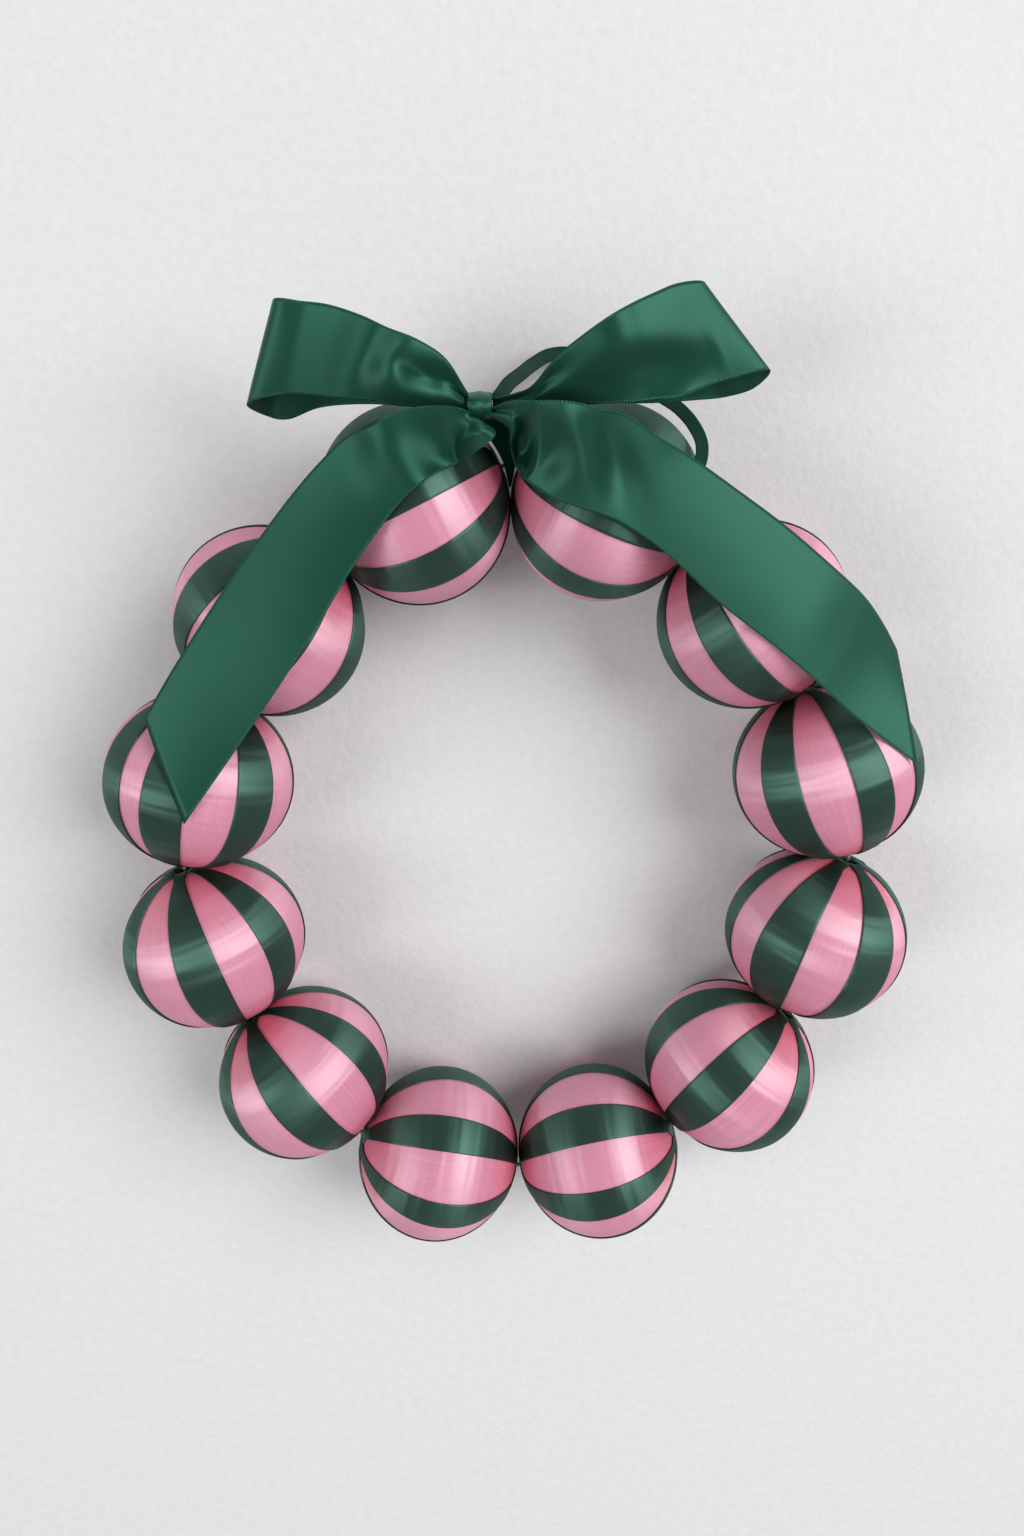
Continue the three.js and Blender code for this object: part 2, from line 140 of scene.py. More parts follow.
RIGHT_TAIL = (
    ((-7.2, 190.8, 83), (-7.4, 188, 81.6), 0),
    ((0, 193, 90), (-1, 184, 81), 2),
    ((7, 193, 94), (0, 178, 77), 4),
    ((16, 193, 96), (1, 173, 76), 5),
    ((24, 192, 96), (3, 168, 77), 5),
    ((32, 190, 95), (7, 164, 78), 4),
    ((41, 188, 92), (15, 159, 80), 3),
    ((52, 181, 88), (26, 155, 81.5), 2),
    ((66, 173, 83), (40, 150, 82), 2),
    ((84, 161, 79), (58, 138, 81), 2.5),
    ((104, 147, 76), (79, 119, 80.5), 3),
    ((124, 131, 73), (101, 102, 81), 3),
    ((138, 119, 69), (118, 88, 78.5), 2.5),
    ((147, 108, 66.5), (136, 72, 74), 2),
    ((154, 97, 65), (165, 50, 70), 1),
)

# The hanging loop: narrow satin ribbon, tied in at the knot at both ends
HANGER_WIDTH = 6.0
HANGER_ROUTE = (
    (-5.4, 193, 71), (-3, 196, 66), (0, 200, 56), (5, 204, 42), (10, 208, 28), (17, 212, 15),
    (26, 213, 6), (38, 210, 2.5), (50, 204, 3.5), (59, 198, 12), (64, 194, 26), (68, 190, 38),
    (72, 184, 48), (74, 177, 57), (72, 170, 65), (66, 166, 71), (56, 165, 75.3), (44, 169, 78),
    (30, 176, 77.4), (16, 184, 75), (4, 188, 70.5), (-6, 189.5, 69.5),
)
HANGER_TURNED_UP = -0.5        # how far its one edge rises, as a share of its width
HANGER_TURNED_ON_BALL = 0.42   # the same where it lies flat on the ball right of the bow
HANGER_TURNS = (0.64, 0.74)    # the stretch of its way in which it goes from one to the other
HANGER_GRID = (6, 160)
ROUTE_STEP = 0.004             # how far ahead and behind a route is looked at for the way it runs

# The knot, and the strap from it through the shade between the top balls to the wire; the strap is drawn
# wide and dull there as painted shade
KNOT_CENTRE = Vector((-11, 191.5, 77.5))
KNOT_HALF_SIZE = Vector((4.4, 5.0, 8.0))
KNOT_CREASE = 0.035            # as a share of the knot's half size
KNOT_ROUNDING = 0.14           # the same, how much smaller it is at its two sides
KNOT_CLOTH = 40                # mm of weave drawn round it, about its real way round
KNOT_GRID = (24, 48)
STRAP_ROUTE = ((-11, 191, 74), (-8, 190, 64), (-3, 186, 52), (0, 181, 43), (0, 171, 41.5), (0, 161, 41))
# up to 22 mm wide, far wider than a real strap, so that it fills the shaded gap between the top balls as
# painted shade
STRAP_WIDTHS = (10, 16, 22, 18, 6, 0.9)
STRAP_PLEATS = 5               # half waves across the strap
STRAP_PLEAT_DEPTH = 0.55
STRAP_CLOTH = 48               # mm of weave drawn along it, a little less than its length
STRAP_GRID = (24, 40)

# Pleats where the bow's ribbon is gathered, and the steps in which ribbons are made and measured
PLEATS = 3                     # half waves across the ribbon
MOST_PLEAT_DEPTH = 1.8
PLEAT_FULLNESS = 1.25          # over 1, the pleats are deeper than the lost width asks
PLEATS_FROM = (0.6, 2.0)       # how tightly it is gathered, 0 being flat: where pleats start and are full
BOW_COLUMNS = 42
BOW_ROWS = 150
LEFT_TAIL_ROWS = 130
BOW_STEPS = 200
HANGER_STEPS = 240

# Camera, floor and light, in metres and radians. A window is its place, its size and its power.
CAMERA_PLACE = (-0.0042, 0.1668, 0.5019)
CAMERA_TURN = (-0.302, -0.011, -0.012)
CAMERA_LENS = 26.0             # millimetres, as is the film's width
CAMERA_FILM_WIDTH = 36.0
FLOOR_HALF_SIZE = 3.0
ROOM_COLOUR = "#f1f3f6"
ROOM_BRIGHTNESS = 0.37
WINDOWS = {
    "window": ((2.7, 1.3, 2.9), (3.0, 2.6), 138),
    "side_window": ((-2.9, -0.3, 2.8), (1.4, 2.6), 54),
}


def in_frame(point):
    """A point given from the ring's middle in millimetres, as metres in the shared frame."""
    return (Vector(point) + RING_SHIFT) * MM


def smooth_point(points, t):
    """Where t (0 to 1) falls on one smooth curve through the points."""
    place = min(max(t, 0.0), 1.0) * (len(points) - 1)
    i = min(int(place), len(points) - 2)
    f = place - i
    p1, p2 = Vector(points[i]), Vector(points[i + 1])
    p0 = Vector(points[i - 1]) if i > 0 else 2 * p1 - p2
    p3 = Vector(points[i + 2]) if i + 2 < len(points) else 2 * p2 - p1
    return 0.5 * (2 * p1 + (p2 - p0) * f + (2 * p0 - 5 * p1 + 4 * p2 - p3) * f * f
                  + (3 * p1 - p0 - 3 * p2 + p3) * f ** 3)


def smooth_number(numbers, t):
    """Where t (0 to 1) falls on one smooth curve through a row of numbers."""
    return smooth_point([(number, 0, 0) for number in numbers], t).x


def path_length(points):
    return sum((b - a).length for a, b in zip(points, points[1:]))


def smoothstep(low, high, value):
    """0 up to low, 1 from high on, and a soft rise between them."""
    x = min(max((value - low) / (high - low), 0.0), 1.0)
    return x * x * (3 - 2 * x)


# Colours and node helper

def colour(code):
    """An sRGB hex colour as linear RGBA."""
    parts = [int(code[i:i + 2], 16) / 255 for i in (1, 3, 5)]
    linear = [c / 12.92 if c <= 0.04045 else ((c + 0.055) / 1.055) ** 2.4 for c in parts]
    return (*linear, 1.0)


# Where a colour mix has its sockets, which share their names with others
MIX_AMOUNT, MIX_FIRST, MIX_SECOND, MIX_RESULT = 0, 6, 7, 2
MULTIPLY = {"data_type": "RGBA", "blend_type": "MULTIPLY"}


def add_node(tree, kind, links=None, inputs=None, stops=(), **settings):
    """Add a node. Links feed its sockets, inputs are its sockets' own values, stops are the places and
    colours of its ramp, and settings are its properties."""
    node = tree.nodes.new(kind)
    for name, value in settings.items():
        setattr(node, name, value)
    for name, value in (inputs or {}).items():
        node.inputs[name].default_value = value
    for name, source in (links or {}).items():
        tree.links.new(source, node.inputs[name])
    if stops:
        elements = node.color_ramp.elements
        while len(elements) < len(stops):
            elements.new(0.5)
        for element, (position, value) in zip(elements, stops):
            element.position = position
            element.color = value
    return node


def new_material(name):
    material = bpy.data.materials.new(name)
    material.use_nodes = True
    tree = material.node_tree
    shader = tree.nodes["Principled BSDF"]
    return material, tree, shader


def grey(value):
    return (value, value, value, 1.0)


def cloth_places(tree):
    """A ribbon's place on its cloth in millimetres, and its two shares across and along the band."""
    weave = add_node(tree, "ShaderNodeUVMap", uv_map="weave").outputs["UV"]
    band = add_node(tree, "ShaderNodeUVMap", uv_map="band").outputs["UV"]
    parts = add_node(tree, "ShaderNodeSeparateXYZ", {"Vector": band})
    return weave, parts.outputs["X"], parts.outputs["Y"]


def cloth_pattern(tree, weave, across, along, detail, roughness):
    """A random pattern on the cloth, with so many spots a millimetre across and along the ribbon."""
    space = add_node(tree, "ShaderNodeMapping", {"Vector": weave}, {"Scale": (across, along, 1)})
    spots = add_node(tree, "ShaderNodeTexNoise", {"Vector": space.outputs[0]},
                     {"Scale": 1.0, "Detail": detail, "Roughness": roughness})
    return spots.outputs["Fac"]


def run_along_cloth(tree, shader, anisotropy):
    """Make the shine follow the threads, which run along the ribbon."""
    tangent = add_node(tree, "ShaderNodeTangent", direction_type="UV_MAP", uv_map="weave")
    tree.links.new(tangent.outputs[0], shader.inputs["Tangent"])
    shader.inputs["Anisotropic"].default_value = anisotropy


# Materials

def ball_ribbon(name, middle, pole_shade, shine, roughness, pale):
    """Polypropylene satin ribbon, drawn tight over a ball. Its drawn fibres run from pole to pole, so
    each light gives a soft bright band straight across the stripes."""
    material, tree, shader = new_material(name)
    weave, across, along = cloth_places(tree)
    # fibres 0.5 mm apart and 50 mm long, drawn a little coarser than the real ones so that they show
    fibres = cloth_pattern(tree, weave, 1.9, 0.02, 3.0, 0.65)
    # slack in the ribbon: shallow waves across it, 9 mm from crest to crest
    waves = cloth_pattern(tree, weave, 0.012, 0.11, 1.5, 0.5)
    # single fibres in long lines about 1 mm wide: on the green a painted glint, 2.6 times as bright; on
    # the pink, darker fibres
    lines = cloth_pattern(tree, weave, 0.9, 0.006, 5.0, 0.8)
    # The colour turns into painted shade towards each pole: near black on the green, and a deeper red on
    # the pink where the ribbons crowd together and light each other.
    tone = add_node(tree, "ShaderNodeValToRGB", {"Fac": along},
                    stops=[(0.1, colour(pole_shade)), (0.34, colour(middle)),
                           (0.66, colour(middle)), (0.9, colour(pole_shade))]).outputs["Color"]
    fibre_shade = [(0.3, grey(0.84)), (0.7, grey(1.12))]
    glint_and_fibre_lines = [(0.0, grey(1.0)), (0.62, grey(1.0)), (0.67, grey(pale)), (0.70, grey(1.0))]
    # painted shadow: a thin dark line along both edges of every band, where one ribbon lies on another
    painted_edge_shadow = [(0.0, grey(0.35)), (0.018, grey(1.0)), (0.982, grey(1.0)), (1.0, grey(0.35))]
    for source, stops in ((fibres, fibre_shade), (lines, glint_and_fibre_lines), (across, painted_edge_shadow)):
        shade = add_node(tree, "ShaderNodeValToRGB", {"Fac": source}, stops=stops)
        mix = add_node(tree, "ShaderNodeMix", {MIX_FIRST: tone, MIX_SECOND: shade.outputs["Color"]},
                       {MIX_AMOUNT: 1.0}, **MULTIPLY)
        tone = mix.outputs[MIX_RESULT]
    tree.links.new(tone, shader.inputs["Base Color"])
    rough = add_node(tree, "ShaderNodeMapRange", {"Value": fibres},
                     {"To Min": roughness - 0.05, "To Max": roughness + 0.06})
    tree.links.new(rough.outputs[0], shader.inputs["Roughness"])
    wave_bump = add_node(tree, "ShaderNodeBump", {"Height": waves}, {"Strength": 0.6, "Distance": 0.0014})
    fibre_bump = add_node(tree, "ShaderNodeBump", {"Height": fibres, "Normal": wave_bump.outputs[0]},
                          {"Strength": 0.3, "Distance": 0.00005})
    tree.links.new(fibre_bump.outputs[0], shader.inputs["Normal"])
    run_along_cloth(tree, shader, 0.88)
    shader.inputs["Specular IOR Level"].default_value = 1.0
    shader.inputs["Specular Tint"].default_value = colour(shine)
    shader.inputs["IOR"].default_value = 2.0
    return material


def bow_satin(name="polyester_satin_ribbon", dark="#0e342b", light="#123e34", shine=1.0):
    """Double-faced polyester satin. The floats of its weave run along the ribbon and give a silky,
    soft-edged shine; the selvedge is a firm woven edge with tiny even stitches."""
    material, tree, shader = new_material(name)
    weave, across, _ = cloth_places(tree)
    # floats 0.4 mm by 1.4 mm, drawn twice as coarse as real satin so that they show
    grain = cloth_pattern(tree, weave, 2.4, 0.7, 2.0, 0.6)
    tone = add_node(tree, "ShaderNodeValToRGB", {"Fac": grain},
                    stops=[(0.3, colour(dark)), (0.7, colour(light))])
    edge = add_node(tree, "ShaderNodeValToRGB", {"Fac": across},
                    stops=[(0.0, grey(1.25)), (0.012, grey(1.2)), (0.02, grey(0.7)), (0.032, grey(1.0)),
                           (0.968, grey(1.0)), (0.98, grey(0.7)), (0.988, grey(1.2)), (1.0, grey(1.25))])
    body = add_node(tree, "ShaderNodeMix",
                    {MIX_FIRST: tone.outputs["Color"], MIX_SECOND: edge.outputs["Color"]},
                    {MIX_AMOUNT: 1.0}, **MULTIPLY)
    tree.links.new(body.outputs[MIX_RESULT], shader.inputs["Base Color"])
    # selvedge stitches, 1 mm apart
    stitch_space = add_node(tree, "ShaderNodeMapping", {"Vector": weave}, {"Scale": (0, 1.0, 1)})
    stitches = add_node(tree, "ShaderNodeTexWave", {"Vector": stitch_space.outputs[0]}, {"Scale": 0.32},
                        bands_direction="Y")
    at_edge = add_node(tree, "ShaderNodeValToRGB", {"Fac": across},
                       stops=[(0.0, grey(1.0)), (0.02, grey(1.0)), (0.03, grey(0.0)),
                              (0.97, grey(0.0)), (0.98, grey(1.0)), (1.0, grey(1.0))])
    selvedge = add_node(tree, "ShaderNodeMix",
                        {MIX_FIRST: at_edge.outputs["Color"], MIX_SECOND: stitches.outputs["Color"]},
                        {MIX_AMOUNT: 1.0}, **MULTIPLY)
    grain_bump = add_node(tree, "ShaderNodeBump", {"Height": grain},
                          {"Strength": 0.35, "Distance": 0.00012})
    edge_bump = add_node(tree, "ShaderNodeBump",
                         {"Height": selvedge.outputs[MIX_RESULT], "Normal": grain_bump.outputs[0]},
                         {"Strength": 0.6, "Distance": 0.0004})
    tree.links.new(edge_bump.outputs[0], shader.inputs["Normal"])
    run_along_cloth(tree, shader, 0.85)
    shader.inputs["Roughness"].default_value = 0.51
    shader.inputs["Specular IOR Level"].default_value = shine
    shader.inputs["Specular Tint"].default_value = colour("#8ae8c4")
    shader.inputs["IOR"].default_value = 1.6
    return material


def drawn_wire():
    """Galvanised steel wire: a dull grey shine, mottled in spots about 1 mm across."""
    material, tree, shader = new_material("galvanised_drawn_wire")
    place = add_node(tree, "ShaderNodeTexCoord").outputs["Object"]
    spots = add_node(tree, "ShaderNodeTexNoise", {"Vector": place},
                     {"Scale": 900.0, "Detail": 2.0, "Roughness": 0.6})
    tone = add_node(tree, "ShaderNodeValToRGB", {"Fac": spots.outputs["Fac"]},
                    stops=[(0.3, colour("#8b8c8a")), (0.7, colour("#a9aaa7"))])
    tree.links.new(tone.outputs["Color"], shader.inputs["Base Color"])
    shader.inputs["Metallic"].default_value = 1.0
    shader.inputs["Roughness"].default_value = 0.38
    return material


def bead_foam():
    """White expanded polystyrene: matt, with a faint pattern of pressed beads 3 mm across."""
    material, tree, shader = new_material("polystyrene_foam")
    place = add_node(tree, "ShaderNodeTexCoord").outputs["Object"]
    cells = add_node(tree, "ShaderNodeTexVoronoi", {"Vector": place}, {"Scale": 350.0})
    beads = cells.outputs["Distance"]
    tone = add_node(tree, "ShaderNodeValToRGB", {"Fac": beads},
                    stops=[(0.2, colour("#f4f3ef")), (0.8, colour("#e2e1dc"))])
    tree.links.new(tone.outputs["Color"], shader.inputs["Base Color"])
    bump = add_node(tree, "ShaderNodeBump", {"Height": beads}, {"Strength": 0.4, "Distance": 0.0003})
    tree.links.new(bump.outputs[0], shader.inputs["Normal"])
    shader.inputs["Roughness"].default_value = 0.85
    return material


def pale_plaster():
    """A plain pale surface, matt, with a faint trowelled texture about 5 mm coarse."""
    material, tree, shader = new_material("pale_plaster")
    place = add_node(tree, "ShaderNodeTexCoord").outputs["Object"]
    coarse = add_node(tree, "ShaderNodeTexNoise", {"Vector": place},
                      {"Scale": 220.0, "Detail": 4.0, "Roughness": 0.6}).outputs["Fac"]
    tone = add_node(tree, "ShaderNodeValToRGB", {"Fac": coarse},
                    stops=[(0.3, colour("#e3e3e4")), (0.7, colour("#e9e9ea"))])
    tree.links.new(tone.outputs["Color"], shader.inputs["Base Color"])
    bump = add_node(tree, "ShaderNodeBump", {"Height": coarse}, {"Strength": 0.35, "Distance": 0.0012})
    tree.links.new(bump.outputs[0], shader.inputs["Normal"])
    shader.inputs["Roughness"].default_value = 0.9
    shader.inputs["Specular IOR Level"].default_value = 0.2
    return material


# The second colour of each ball ribbon is its painted shade towards the poles. The last number is the
# brightness of its fibre lines: a painted glint on the green, darker fibres on the pink.
GREEN_WRAP = ball_ribbon("green_polypropylene_ribbon", "#182421", "#070c0a", "#88bfaa", 0.45, 2.6)
PINK_WRAP = ball_ribbon("pink_polypropylene_ribbon", "#e48da9", "#e0607c", "#fff4f7", 0.47, 0.86)
SATIN = bow_satin()
# A copy of the satin with almost no shine, as painted shade: it keeps the narrow hanger ribbon dark, as
# if turned away from the windows, and the strap dark, as if in the shade under the knot.
DULL_SATIN_FOR_SHADE = bow_satin("satin_dulled_as_painted_shade", "#10352b", "#143d32", 0.08)


# Mesh helpers

def bent_grid(mesh, columns, rows, bend, weave_at):
    """Add a grid of columns by rows and bend it. bend(u, v) gives a point in metres for u and v from
    0 to 1, and weave_at(u, v) its place on the cloth in millimetres."""
    weave = mesh.loops.layers.uv["weave"]
    band = mesh.loops.layers.uv["band"]
    made = bmesh.ops.create_grid(mesh, x_segments=columns, y_segments=rows, size=0.5)
    spots = {vert: (vert.co.x + 0.5, vert.co.y + 0.5) for vert in made["verts"]}
    faces = {face for vert in made["verts"] for face in vert.link_faces}
    for face in faces:
        face.smooth = True
        for loop in face.loops:
            u, v = spots[loop.vert]
            loop[weave].uv = weave_at(u, v)
            loop[band].uv = (u, v)
    for vert, (u, v) in spots.items():
        vert.co = bend(u, v)


def new_mesh():
    mesh = bmesh.new()
    mesh.loops.layers.uv.new("weave")
    mesh.loops.layers.uv.new("band")
    return mesh


def finish_piece(mesh, name, material, replaced, thickness):
    """Turn a bmesh into a named piece that rides with the wreath and stands for the replaced nodes."""
    data = bpy.data.meshes.new(name)
    mesh.to_mesh(data)
    mesh.free()
    piece = bpy.data.objects.new(name, data)
    bpy.context.scene.collection.objects.link(piece)
    data.materials.append(material)
    solid = piece.modifiers.new("thickness", "SOLIDIFY")
    solid.thickness = thickness * MM
    solid.offset = 0.0
    bpy.context.view_layer.objects.active = piece
    piece.select_set(True)
    bpy.ops.object.modifier_apply(modifier="thickness")
    piece.select_set(False)
    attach(piece, "root")
    if replaced:
        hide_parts(*replaced)
    return piece


# Balls

def ball_centres():
    """The top, bottom and side pairs stand on the ring's axes; each corner ball is one spacing from
    its neighbours on both sides."""
    half = BALL_SPACING / 2
    top = Vector((half, RING_HALF_HEIGHT))
    side = Vector((RING_HALF_WIDTH, half))
    chord = side - top
    bulge = math.sqrt(BALL_SPACING ** 2 - chord.length_squared / 4)
    corner = (top + side) / 2 + Vector((-chord.y, chord.x)).normalized() * bulge
    centres = {}
    for right in (0, 1):
        x = 1 if right else -1
        for first, spot in ((1, top), (3, corner), (5, side)):
            centres[first + right] = Vector((x * spot.x, spot.y, BALL_CENTRE_HEIGHT))
        for first, spot in ((7, side), (9, corner), (11, top)):
            centres[first + right] = Vector((x * spot.x, -spot.y, BALL_CENTRE_HEIGHT))
    return centres


def ball_frame(centres, number):
    """A ball's own frame: Y along its bore, Z up, X towards the middle of the ring."""
    turn = CLOCKWISE.index(number)
    outwards, upwards, _ = BALLS[number]
    before = centres[CLOCKWISE[turn - 1]]
    after = centres[CLOCKWISE[(turn + 1) % len(CLOCKWISE)]]
    up = Vector((0, 0, 1))
    bore = (after - before).normalized()
    bore -= bore.cross(up) * math.tan(math.radians(outwards))
    bore += up * math.tan(math.radians(upwards))
    bore.normalize()
    inward = bore.cross(up).normalized()
    above = inward.cross(bore)
    turned = Matrix((inward, bore, above)).transposed().to_4x4()
    return Matrix.Translation(centres[number]) @ turned


def stripe_edges(given):
    edges = list(given)
    step = (given[0] + 360 - given[-1]) / (STRIPES_PER_BALL - len(given) + 1)
    while len(edges) < STRIPES_PER_BALL:
        edges.append(edges[-1] + step)
    return edges


def on_ball(turned, radius, angle, along):
    """A point on a ball's ribbons: angle round the bore in degrees, along from -1 to 1 pole to pole."""
    above_wrap = radius - BALL_RADIUS
    rim = math.radians(BORE_RIM_LATITUDE + RIM_STEP * above_wrap)
    depth = max(abs(along) - (1 - TUCK_SHARE), 0) / TUCK_SHARE
    latitude = rim * min(abs(along) / (1 - TUCK_SHARE), 1.0)
    across = BALL_RADIUS * math.cos(latitude) + above_wrap
    length = (BALL_HALF_LENGTH + above_wrap) * math.sin(latitude) - BORE_TUCK * depth
    turn = math.radians(angle)
    local = Vector((-across * math.sin(turn), math.copysign(length, along), across * math.cos(turn)))
    point = turned @ local
    point.z = max(point.z, WRAP_THICKNESS / 2 + max(-above_wrap, 0))
    return in_frame(point)


def closing(along):
    """How far a pink window has closed towards the pole: 0 along most of it, 1 past its tip."""
    return smoothstep(*WINDOW_CLOSES, abs(along)) ** WINDOW_SHAPE


def edge_angle(edges, i):
    """The angle of stripe edge i, counting on past the last edge and back before the first."""
    turns, place = divmod(i, STRIPES_PER_BALL)
    return edges[place] + 360 * turns


def place_on_cloth(u, v, angle, band, ball_step):
    """Where a spot of a band lies on the flat ribbon, in millimetres."""
    width = math.radians(angle) * BALL_RADIUS
    return (u * width + STRIPE_CLOTH_STEP * band, v * math.pi * BALL_RADIUS + ball_step)


def add_green_ribbon(number, turned):
    """Six bands from pole to pole. They widen and meet just before the poles."""
    edges = stripe_edges(BALLS[number][2])
    rng = random.Random(number)
    mesh = new_mesh()
    for i in range(0, STRIPES_PER_BALL, 2):
        before, start, end, after = [edge_angle(edges, k) for k in range(i - 1, i + 3)]
        sway = [rng.uniform(-MOST_SWAY, MOST_SWAY) for _ in range(4)]

        def bend(u, v):
            along = 2 * v - 1
            closed = closing(along)
            wander = sway[0] * math.sin(2.6 * along) + sway[1] * math.cos(4.1 * along)
            drift = sway[2] * math.sin(3.3 * along) + sway[3] * math.cos(2.2 * along)
            left = start + wander - closed * (start - before) * GREEN_REACH
            right = end + drift + closed * (after - end) * GREEN_REACH
            spread = 0.5 - 0.5 * math.cos(math.pi * u)
            share = EDGE_CROWDING * spread + (1 - EDGE_CROWDING) * u
            lap = GREEN_LAP * (i // 2 % 3) * closed
            return on_ball(turned, BALL_RADIUS + lap, left + (right - left) * share, along)

        bent_grid(mesh, *GREEN_GRID, bend,
                  lambda u, v: place_on_cloth(u, v, end - start, i, GREEN_CLOTH_STEP * number))
    name = f"ball_{number:02d}"
    finish_piece(mesh, f"{name}_green_satin_bands", GREEN_WRAP,
                 [f"{name}_green_ribbon"], WRAP_THICKNESS)


def add_pink_ribbon(number, turned):
    """The ribbon under the green: six bands that lap out of sight."""
    edges = stripe_edges(BALLS[number][2])
    mesh = new_mesh()
    for i in range(1, STRIPES_PER_BALL, 2):
        start = edge_angle(edges, i) - PINK_UNDERLAP
        end = edge_angle(edges, i + 1) + PINK_UNDERLAP

        def bend(u, v):
            radius = BALL_RADIUS - UNDER_RIBBON_DROP - PINK_LAP * (i // 2 % 2)
            return on_ball(turned, radius, start + (end - start) * u, 2 * v - 1)

        bent_grid(mesh, *PINK_GRID, bend,
                  lambda u, v: place_on_cloth(u, v, end - start, i, PINK_CLOTH_STEP * number))
    name = f"ball_{number:02d}"
    finish_piece(mesh, f"{name}_pink_satin_bands", PINK_WRAP,
                 [f"{name}_pink_ribbon"], PINK_THICKNESS)


# Bow

def ribbon_point(stations, u, v, folds=()):
    """A point on a bow ribbon in millimetres: u across from the outer edge, v along. Where the ribbon
    is drawn together at the knot, pleats take up the width that is lost."""
    outer = smooth_point([s[0] for s in stations], v)
    inner = smooth_point([s[1] for s in stations], v)
    lift = smooth_number([s[2] for s in stations], v)
    point = outer.lerp(inner, u)
    point.z += lift * 4 * u * (1 - u)
    width = (inner - outer).length
    spare = math.sqrt(max((RIBBON_WIDTH / width) ** 2 - 1, 0.0))
    depth = min(width * spare / (math.pi * PLEATS) * PLEAT_FULLNESS, MOST_PLEAT_DEPTH)
    depth *= smoothstep(*PLEATS_FROM, spare)
    point.z += depth * math.cos(math.pi * PLEATS * u)
    x, y = point.x, point.y
    for fold in folds:
        if fold.start <= v <= fold.end:
            point.z += fold.height_at(x, y)
    return point


class Fold:
    """A soft dent or crest in a ribbon: its middle seen from above, its half length and half width in
    millimetres, the way it runs in degrees, its height (a dent is below zero), the stretch of ribbon
    that it is in, and how sharp its rim is."""

    def __init__(self, middle, half_length, half_width, runs, height, start=0.0, end=1.0, rim=1.0):
        self.middle = middle
        self.half_length = half_length
        self.half_width = half_width
        self.runs = math.radians(runs)
        self.height = height
        self.start = start
        self.end = end
        self.rim = rim

    def height_at(self, x, y):
        dx, dy = x - self.middle[0], y - self.middle[1]
        along = dx * math.cos(self.runs) + dy * math.sin(self.runs)
        across = dy * math.cos(self.runs) - dx * math.sin(self.runs)
        away = (along / self.half_length) ** 2 + (across / self.half_width) ** 2
        return self.height * math.exp(-away ** self.rim)


LEFT_LOOP_FOLDS = (
    Fold((-29, 201), 11, 4, -30, -6.0, end=0.5),
    Fold((-41, 204), 14, 7, 60, 3.0, end=0.5),
    Fold((-53, 207), 22, 7.5, 60, -3.0, end=0.5),
)
RIGHT_LOOP_FOLDS = (
    Fold((46, 200), 21, 9, 14, -9.5, end=0.52, rim=1.5),
    Fold((24, 197), 13, 4.5, 22, -3.5, end=0.5),
)
LEFT_TAIL_FOLDS = (
    Fold((-24, 176), 11, 11, 0, -12.0, rim=1.3),
    Fold((-9.5, 177.5), 9, 7.5, 30, 8.0, rim=3.0),
    Fold((-46, 179), 13, 8, 80, 3.0),
)
RIGHT_TAIL_FOLDS = (
    Fold((5, 178.5), 10, 4.5, 82, -14.0, rim=2.0),
    Fold((13, 176), 11, 9, 60, -8.0),
    Fold((23, 179), 18, 6.5, -66, 5.0),
    Fold((38, 171), 17, 7.5, -64, -6.0),
)


def add_bow_ribbon(name, stations, rows, folds):
    """One loop or tail of the bow. Its length is measured with its pleats and without its folds."""
    lines = [[ribbon_point(stations, u, i / BOW_STEPS) for i in range(BOW_STEPS + 1)]
             for u in (0, 0.5, 1)]
    runs = [path_length(line) for line in lines]
    middle = lines[1]
    run = [0.0]
    for a, b in zip(middle, middle[1:]):
        run.append(run[-1] + (b - a).length)
    mesh = new_mesh()

    def weave_at(u, v):
        place = v * BOW_STEPS
        i = min(int(place), BOW_STEPS - 1)
        return (u * RIBBON_WIDTH, run[i] + (run[i + 1] - run[i]) * (place - i))

    bent_grid(mesh, BOW_COLUMNS, rows,
              lambda u, v: in_frame(ribbon_point(stations, u, v, folds)), weave_at)
    piece = finish_piece(mesh, f"{name}_satin", SATIN, [name], SATIN_THICKNESS)


def hanger_point(u, v):
    """A point on the hanging ribbon in millimetres, square to the way it runs: u across, v along."""
    on_ball_share = smoothstep(*HANGER_TURNS, v)
    turned_up = HANGER_TURNED_UP + (HANGER_TURNED_ON_BALL - HANGER_TURNED_UP) * on_ball_share
    ahead = smooth_point(HANGER_ROUTE, v + ROUTE_STEP) - smooth_point(HANGER_ROUTE, v - ROUTE_STEP)
    side = (Vector((-ahead.y, ahead.x, 0)).normalized() + Vector((0, 0, turned_up))).normalized()
    return smooth_point(HANGER_ROUTE, v) + side * HANGER_WIDTH * (0.5 - u)


def add_hanger():
    """The narrow ribbon loop that the wreath is hung by."""
    path = [smooth_point(HANGER_ROUTE, i / HANGER_STEPS) for i in range(HANGER_STEPS + 1)]
    length = path_length(path)
    mesh = new_mesh()
    bent_grid(mesh, *HANGER_GRID, lambda u, v: in_frame(hanger_point(u, v)),
              lambda u, v: (u * HANGER_WIDTH, v * length))
    piece = finish_piece(mesh, "hanger_ribbon_satin", DULL_SATIN_FOR_SHADE, ["hanger_ribbon"],
                         SATIN_THICKNESS)
    points = [tuple(in_frame(p)) for p in path]


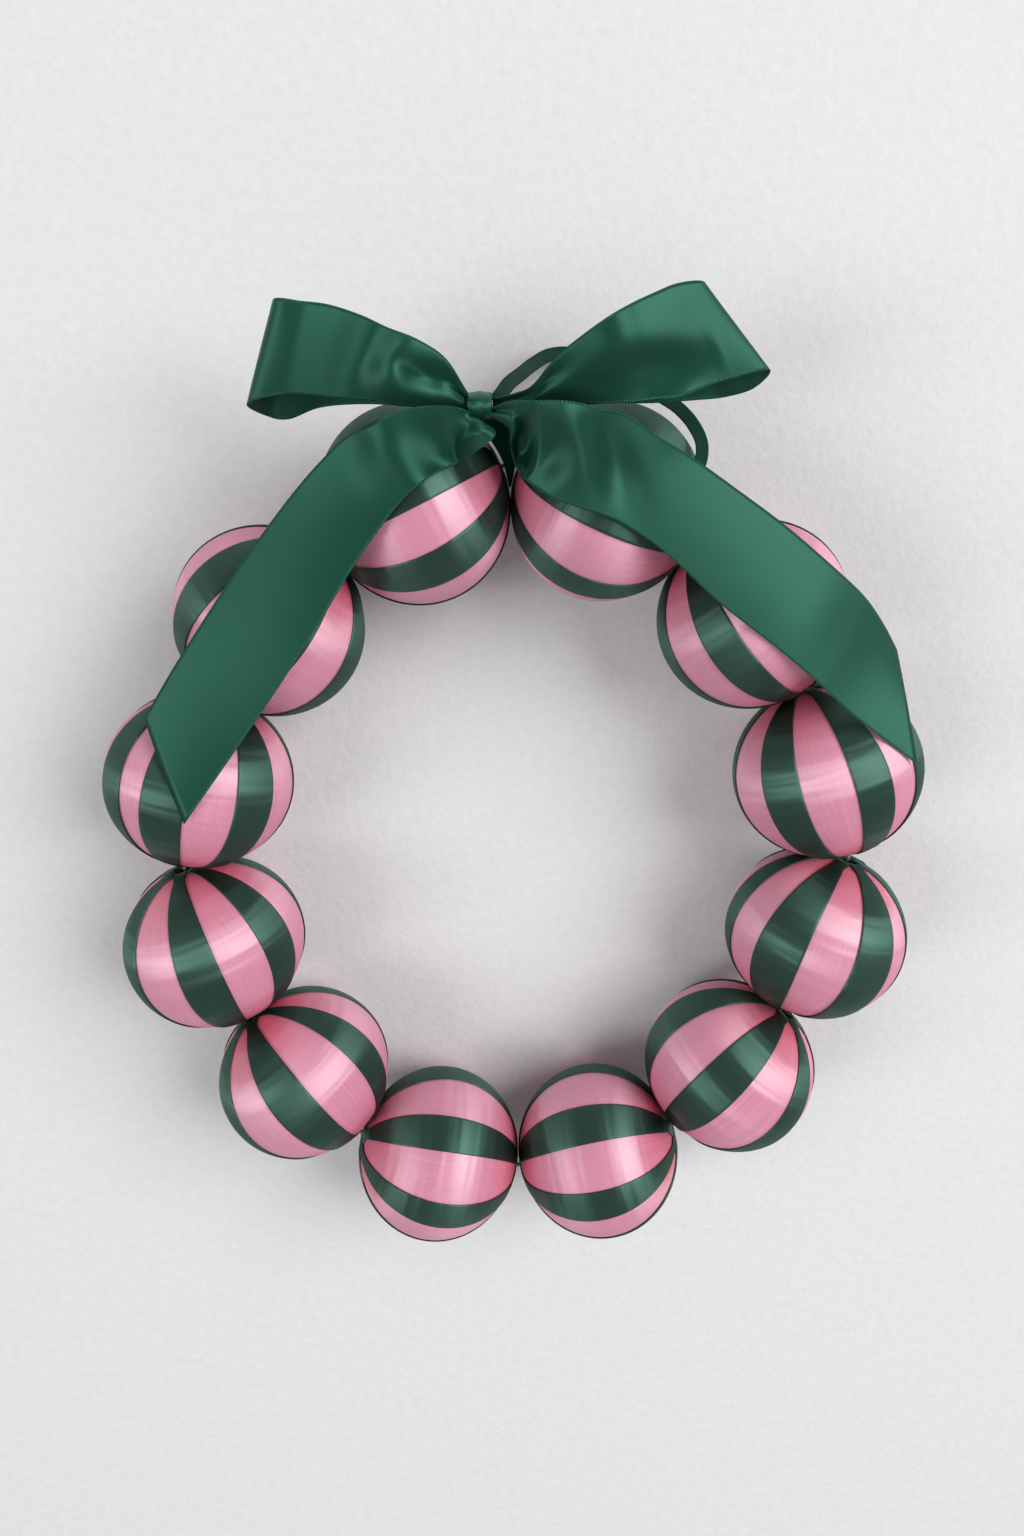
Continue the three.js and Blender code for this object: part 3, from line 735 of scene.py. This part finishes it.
def add_knot():
    """The ribbon's tight turn round the middle of the bow."""
    mesh = new_mesh()

    def bend(u, v):
        turn = 2 * math.pi * v
        side = 2 * u - 1
        crease = 1 + KNOT_CREASE * math.cos(2 * math.pi * side + 1.2 * math.sin(turn))
        size = crease - KNOT_ROUNDING * abs(side) ** 4
        local = Vector((side * KNOT_HALF_SIZE.x,
                        KNOT_HALF_SIZE.y * size * math.cos(turn),
                        KNOT_HALF_SIZE.z * size * math.sin(turn)))
        return in_frame(KNOT_CENTRE + local)

    bent_grid(mesh, *KNOT_GRID, bend, lambda u, v: (u * RIBBON_WIDTH, v * KNOT_CLOTH))
    bmesh.ops.remove_doubles(mesh, verts=mesh.verts, dist=1e-6)
    finish_piece(mesh, "bow_knot_satin", SATIN, ["bow_knot"], SATIN_THICKNESS)


def add_strap():
    """The ribbon's way from the knot down to the wire, in the shade between the top balls. It is drawn
    wide, in the dull satin, as a dark sheet that paints the shade there.
    """
    mesh = new_mesh()

    def strap(u, v):
        width = smooth_number(STRAP_WIDTHS, v)
        pleat = STRAP_PLEAT_DEPTH * math.cos(STRAP_PLEATS * math.pi * u) * (1 - v)
        return in_frame(smooth_point(STRAP_ROUTE, v) + Vector((width * (u - 0.5), pleat, pleat)))

    bent_grid(mesh, *STRAP_GRID, strap, lambda u, v: (u * RIBBON_WIDTH, v * STRAP_CLOTH))
    finish_piece(mesh, "bow_strap_widened_as_painted_shade", DULL_SATIN_FOR_SHADE, (), SATIN_THICKNESS)


# Camera and stage

def add_camera():
    """The camera above the table, where the photograph was taken from."""
    camera = bpy.data.cameras.new("camera")
    camera.lens = CAMERA_LENS
    camera.sensor_width = CAMERA_FILM_WIDTH
    holder = bpy.data.objects.new("camera", camera)
    holder.location = CAMERA_PLACE
    holder.rotation_euler = CAMERA_TURN
    bpy.context.scene.collection.objects.link(holder)
    bpy.context.scene.camera = holder
    bpy.context.scene.view_settings.view_transform = "Standard"


def add_window(name, place, size, power):
    """A rectangle of soft white light that faces the middle of the frame."""
    light = bpy.data.lights.new(name, "AREA")
    light.shape = "RECTANGLE"
    light.size, light.size_y = size
    light.energy = power
    holder = bpy.data.objects.new(name, light)
    holder.location = place
    holder.rotation_euler = (-Vector(place)).to_track_quat("-Z", "Y").to_euler()
    bpy.context.scene.collection.objects.link(holder)


def add_stage():
    """The floor, the even light of the room and the two windows."""
    mesh = bmesh.new()
    bmesh.ops.create_grid(mesh, x_segments=1, y_segments=1, size=FLOOR_HALF_SIZE)
    data = bpy.data.meshes.new("pale_floor")
    mesh.to_mesh(data)
    mesh.free()
    floor = bpy.data.objects.new("pale_floor", data)
    data.materials.append(pale_plaster())
    bpy.context.scene.collection.objects.link(floor)
    world = bpy.data.worlds.new("soft_room")
    bpy.context.scene.world = world
    world.use_nodes = True
    background = world.node_tree.nodes["Background"]
    background.inputs["Color"].default_value = colour(ROOM_COLOUR)
    background.inputs["Strength"].default_value = ROOM_BRIGHTNESS
    for name, window in WINDOWS.items():
        add_window(name, *window)


add_camera()
add_hanger()
centres = ball_centres()
for number in BALLS:
    turned = ball_frame(centres, number)
    add_pink_ribbon(number, turned)
    add_green_ribbon(number, turned)

add_bow_ribbon("bow_left_loop", LEFT_LOOP, BOW_ROWS, LEFT_LOOP_FOLDS)
add_bow_ribbon("bow_right_loop", RIGHT_LOOP, BOW_ROWS, RIGHT_LOOP_FOLDS)
add_bow_ribbon("bow_left_tail", LEFT_TAIL, LEFT_TAIL_ROWS, LEFT_TAIL_FOLDS)
add_bow_ribbon("bow_right_tail", RIGHT_TAIL, BOW_ROWS, RIGHT_TAIL_FOLDS)
add_knot()
add_strap()

wire_finish = drawn_wire()
foam_finish = bead_foam()
for node_name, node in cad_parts.items():
    if node_name == "ring_wire" or node_name.endswith("foam_core"):
        node.data.materials.clear()
        node.data.materials.append(wire_finish if node_name == "ring_wire" else foam_finish)

add_stage()
